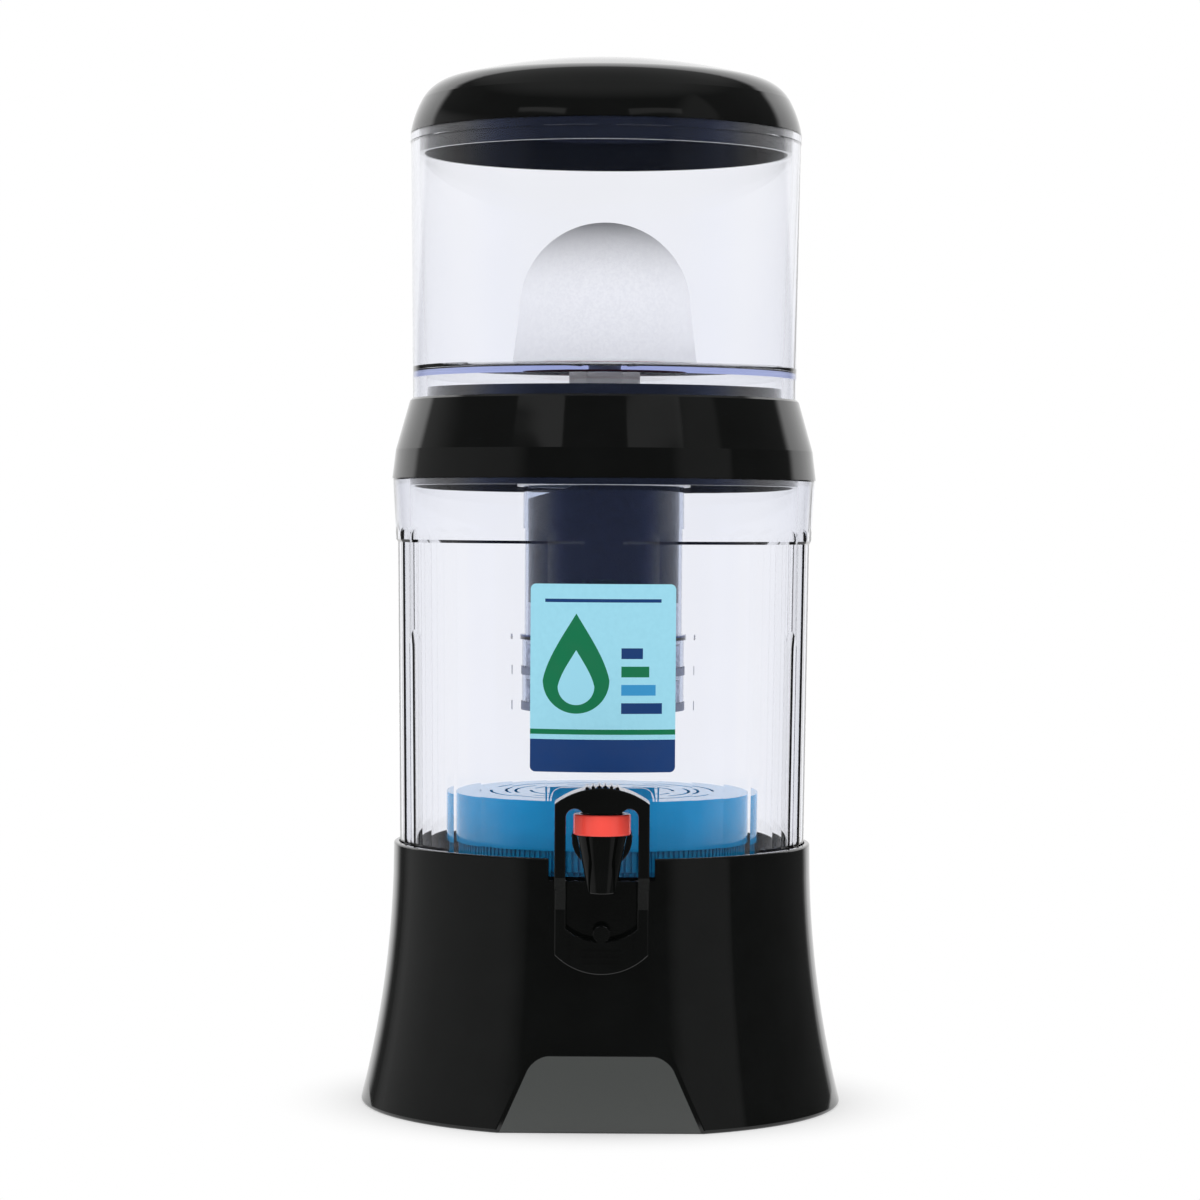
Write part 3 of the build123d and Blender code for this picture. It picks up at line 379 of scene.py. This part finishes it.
def bar(left, right, low, high):
    """A plain printed rectangle, in metres from the label's middle."""
    side = within(across, (left + right) / 2, (right - left) / 2)
    return calc(nodes, link, "MULTIPLY", side, within(up, (low + high) / 2, (high - low) / 2))


def drop(middle_x, middle_z, radius, point):
    """A drop: half a circle below its middle, and drawn in to a point above it."""
    above = calc(nodes, link, "SUBTRACT", up, middle_z)
    share = calc(nodes, link, "DIVIDE", above, point, clamp=True)
    square = calc(nodes, link, "MULTIPLY", share, share)
    narrowing = calc(nodes, link, "MULTIPLY",
                     calc(nodes, link, "SUBTRACT", 1.0, square),
                     calc(nodes, link, "MULTIPLY_ADD", share, -0.4, 1.0))
    under = calc(nodes, link, "MINIMUM", above, 0.0)
    arc = calc(nodes, link, "SQRT", calc(
        nodes, link, "MAXIMUM", calc(nodes, link, "MULTIPLY_ADD", calc(
            nodes, link, "MULTIPLY", under, under), -1.0, radius * radius), 0.0))
    half = calc(nodes, link, "MINIMUM", calc(nodes, link, "MULTIPLY", narrowing, radius), arc)
    offset = calc(nodes, link, "ABSOLUTE", calc(nodes, link, "SUBTRACT", across, middle_x))
    return calc(nodes, link, "LESS_THAN", offset, half)


navy = (0.004, 0.045, 0.19)
green = (0.0, 0.19, 0.075)
blue = (0.03, 0.30, 0.62)
pale_blue = (0.33, 0.71, 0.87)
ink = tint(nodes, link, grain(nodes, link, place, 400), (0.325, 0.70, 0.855), (0.345, 0.73, 0.885))
ink = printed(ink, drop(-0.0125, -0.001, 0.0155, 0.031), green)
ink = printed(ink, drop(-0.0125, -0.004, 0.0085, 0.017), pale_blue)
for step, (reach, color) in enumerate(((0.019, navy), (0.016, blue), (0.013, green), (0.010, navy))):
    low = -0.0165 + step * 0.0085
    ink = printed(ink, bar(0.0085, 0.0085 + reach, low, low + 0.005), color)
ink = printed(ink, bar(-0.034, 0.034, -0.0438, -0.0285), navy)
ink = printed(ink, bar(-0.034, 0.034, -0.0262, -0.0238), green)
ink = printed(ink, bar(-0.027, 0.027, 0.0352, 0.0368), navy)
link(ink, shader.inputs["Base Color"])
link(ramp(nodes, link, grain(nodes, link, place, 120), 0.3, 0.7, 0.28, 0.36), shader.inputs["Roughness"])
shader.inputs["IOR"].default_value = 1.45
bumps(nodes, link, shader, grain(nodes, link, place, 150, 2.0), 0.00002)
paint("front_label", material)

# ---- Tap -----------------------------------------------------------------------------------
# Body, nut, bonnet and lever are moulded in the same black as the base. The ring is bright
# red. Rubber washers seal the shank and the bonnet, and the pin and the spring are steel.
for node in ("tap_body", "tap_nut", "tap_bonnet", "tap_lever"):
    paint(node, black_plastic)
paint("tap_ring", moulded_plastic(
    "red_ring_plastic", (0.97, 0.080, 0.060), (1.0, 0.105, 0.080), (0.10, 0.16)))


def cells(nodes, link, coordinates, scale):
    """Voronoi cells: (distance from each cell's middle, a random shade for each)."""
    node = nodes.new("ShaderNodeTexVoronoi")
    link(coordinates, node.inputs["Vector"])
    node.inputs["Scale"].default_value = scale
    return node.outputs["Distance"], node.outputs["Color"]


def granules(name, dark, light, scale, depth, rough):
    """Grains of many shades, each standing out a little."""
    material, nodes, link, shader, place = finish_nodes(name)
    distance, shade = cells(nodes, link, place, scale)
    link(tint(nodes, link, shade, dark, light), shader.inputs["Base Color"])
    link(ramp(nodes, link, shade, 0.0, 1.0, rough - 0.08, rough + 0.08), shader.inputs["Roughness"])
    bumps(nodes, link, shader, calc(nodes, link, "SUBTRACT", 1.0, distance), depth)
    return material


black_rubber = granules("black_rubber", (0.008, 0.008, 0.009), (0.015, 0.015, 0.016), 900, 0.00003, 0.55)
for node in ("tap_outer_gasket", "tap_inner_gasket", "tap_bonnet_seal", "tap_stem_oring", "tap_valve_plug"):
    paint(node, black_rubber)
white_plastic = moulded_plastic("white_plastic", (0.78, 0.78, 0.78), (0.84, 0.84, 0.84), (0.25, 0.35))
paint("tap_stem", white_plastic)
material, nodes, link, shader, place = finish_nodes("drawn_steel")
link(tint(nodes, link, grain(nodes, link, place, 900), (0.45, 0.45, 0.46), (0.62, 0.62, 0.63)),
     shader.inputs["Base Color"])
shader.inputs["Metallic"].default_value = 1.0
link(ramp(nodes, link, grain(nodes, link, place, 500), 0.3, 0.7, 0.2, 0.35), shader.inputs["Roughness"])
paint("tap_spring", material)
paint("tap_pivot_pin", material)

# ---- Stone tray ----------------------------------------------------------------------------
# A round tray and its slotted lid, moulded in mid blue, on a darker ribbed foot. They stand
# loose on the tank's floor.
tray_blue = moulded_plastic("tray_blue_plastic", (0.003, 0.23, 0.48), (0.006, 0.26, 0.53), (0.05, 0.10))
paint("stone_tray", tray_blue)
paint("stone_tray_lid", tray_blue)
paint("stone_tray_foot", moulded_plastic(
    "tray_foot_plastic", (0.006, 0.21, 0.42), (0.008, 0.24, 0.46), (0.15, 0.25)))


# ---- Stones in the tray --------------------------------------------------------------------
# Tumbled mineral pebbles, each of its own shape and turn, lying where the record has its
# stones. They show only through the lid's slots.
def add_piece(name, mesh, body, material, node):
    """Makes the piece from its bmesh, and lets it stand for a CAD node."""
    data = bpy.data.meshes.new(name)
    bmesh.ops.recalc_face_normals(mesh, faces=mesh.faces)
    mesh.to_mesh(data)
    mesh.free()
    data.materials.append(material)
    for face in data.polygons:
        face.use_smooth = True
    piece = bpy.data.objects.new(name, data)
    scene.collection.objects.link(piece)
    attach(piece, body)
    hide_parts(node)
    return piece


stones_low, stones_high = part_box("mineral_stones")
stone_radius = (stones_high.z - stones_low.z) / 2
ring_step = 0.020
stones = bmesh.new()
luck = random.Random(7)
for ring in range(4):
    count = max(1, ring * 6)
    for turn in range(count):
        angle = (turn + ring * 0.25) * math.tau / count
        middle = Vector((math.cos(angle), math.sin(angle), 0)) * ring_step * ring
        middle.y += axis_y
        new = bmesh.ops.create_icosphere(stones, subdivisions=3, radius=stone_radius)["verts"]
        squeeze = Vector((luck.uniform(0.82, 0.98), luck.uniform(0.72, 0.95), luck.uniform(0.6, 0.85)))
        bmesh.ops.scale(stones, vec=squeeze, verts=new)
        seed = Vector((turn * 3.1, ring * 5.7, 0))
        for vertex in new:
            vertex.co *= 0.95 + 0.05 * noise.noise(vertex.co * 160 + seed)
        bmesh.ops.rotate(stones, cent=(0, 0, 0), verts=new,
                         matrix=Matrix.Rotation(luck.uniform(0, math.tau), 3, "Z"))
        lowest = min(vertex.co.z for vertex in new)
        middle.z = stones_low.z - lowest
        bmesh.ops.translate(stones, vec=middle, verts=new)
add_piece("pebbles", stones, "stone_tray",
          granules("mixed_stone", (0.25, 0.22, 0.20), (0.70, 0.66, 0.60), 120, 0.0004, 0.7),
          "mineral_stones")

# ---- Collar --------------------------------------------------------------------------------
# The black ring that closes the lower tank and carries the upper one. The upper tank's skirt
# drops over the short wall on its ledge.
paint("collar", black_plastic)

# ---- Upper tank ----------------------------------------------------------------------------
# The same clear moulding as the lower tank, with its floor, the skirt under it and a bead
# round its rim.
paint("upper_tank", tank_plastic)

# ---- Ceramic dome --------------------------------------------------------------------------
# A cast and fired dome of porous white ceramic, dull to the touch, glued to a white base with
# a threaded stem. A pink washer seals it, and a nut pulls it down from below.
paint("ceramic_dome", granules(
    "porous_ceramic", (0.83, 0.83, 0.84), (0.88, 0.88, 0.885), 1100, 0.00004, 0.9))
paint("dome_base", white_plastic)
paint("dome_nut", white_plastic)
paint("dome_seal", granules("pink_rubber", (0.78, 0.30, 0.36), (0.86, 0.40, 0.44), 800, 0.00003, 0.5))

# ---- Cartridge shells ----------------------------------------------------------------------
# A white screw cap on a clear cylinder, with two clear cups under it, each with a grey rubber
# band at its foot.
paint("cartridge_cap", white_plastic)
cartridge_plastic = clear_plastic("clear_cartridge_plastic", (0.90, 0.93, 0.98), (60, 50, 30))
for node in ("cartridge_housing", "zeolite_cup", "end_cup"):
    paint(node, cartridge_plastic)
paint("cup_seals", granules("grey_rubber", (0.10, 0.12, 0.18), (0.14, 0.16, 0.22), 800, 0.00003, 0.5))
paint("felt_pads", granules("white_felt", (0.70, 0.70, 0.73), (0.85, 0.85, 0.87), 1500, 0.0002, 0.9))


# ---- Filter beds ---------------------------------------------------------------------------
# Loose grains that fill the cartridge: crushed carbon that has settled to one side, silica
# sand under it, and coarser zeolite and mineral grains in the two cups.
def turned(outline, step, around):
    """An outline of (radius, height) points, divided into short steps and spun about the axis."""
    mesh = bmesh.new()
    last = mesh.verts.new((outline[0][0], axis_y, outline[0][1]))
    for radius, height in outline[1:]:
        start = last.co.copy()
        end = Vector((radius, axis_y, height))
        parts = max(1, round((end - start).length / step))
        for part in range(parts):
            last = bmesh.ops.extrude_vert_indiv(mesh, verts=[last])["verts"][0]
            last.co = start.lerp(end, (part + 1) / parts)
    bmesh.ops.spin(mesh, geom=mesh.verts[:] + mesh.edges[:], cent=(0, axis_y, 0), axis=(0, 0, 1),
                   angle=math.tau, steps=around, use_merge=True)
    bmesh.ops.remove_doubles(mesh, verts=mesh.verts, dist=1e-6)
    return mesh


def bed(name, node, grain_size, step, material, top=None):
    """A bed of grains in a node's place. Its surface is pressed in between the grains."""
    low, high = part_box(node)
    radius = (high.x - low.x) / 2
    mesh = turned([(0, low.z), (radius, low.z), (radius, high.z), (0, high.z)], step,
                  int(math.tau * radius / step))
    if top:
        for vertex in mesh.verts:
            vertex.co.z = min(vertex.co.z, top(vertex.co))
        bmesh.ops.remove_doubles(mesh, verts=mesh.verts, dist=step / 20)
    bmesh.ops.recalc_face_normals(mesh, faces=mesh.faces)
    mesh.normal_update()
    for vertex in mesh.verts:
        gap = noise.voronoi(vertex.co / grain_size)[0][0]
        vertex.co -= vertex.normal * min(gap, 1.0) * grain_size * 0.35
    add_piece(name, mesh, "upper_tank", material, node)


carbon_low, carbon_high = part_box("carbon_bed")
carbon_fall = math.tan(math.radians(15))
bed("carbon_grains", "carbon_bed", 0.0014, 0.0010,
    granules("crushed_carbon", (0.002, 0.003, 0.008), (0.010, 0.014, 0.028), 900, 0.0002, 0.75),
    top=lambda place: carbon_high.z - (carbon_high.x - place.x) * carbon_fall)
bed("sand_grains", "sand_bed", 0.0009, 0.0009,
    granules("pale_sand", (0.45, 0.45, 0.48), (0.75, 0.75, 0.78), 1400, 0.0001, 0.7))
bed("zeolite_grains", "zeolite_bed", 0.0026, 0.0009,
    granules("grey_zeolite", (0.28, 0.30, 0.38), (0.55, 0.56, 0.64), 500, 0.0002, 0.75))
bed("mineral_grains", "mineral_bed", 0.0032, 0.0009,
    granules("dark_mineral", (0.20, 0.22, 0.30), (0.60, 0.60, 0.66), 400, 0.0002, 0.7))

# ---- Lid -----------------------------------------------------------------------------------
# A domed gloss black cap. The ring under it drops into the upper tank's mouth.
paint("lid", black_plastic)
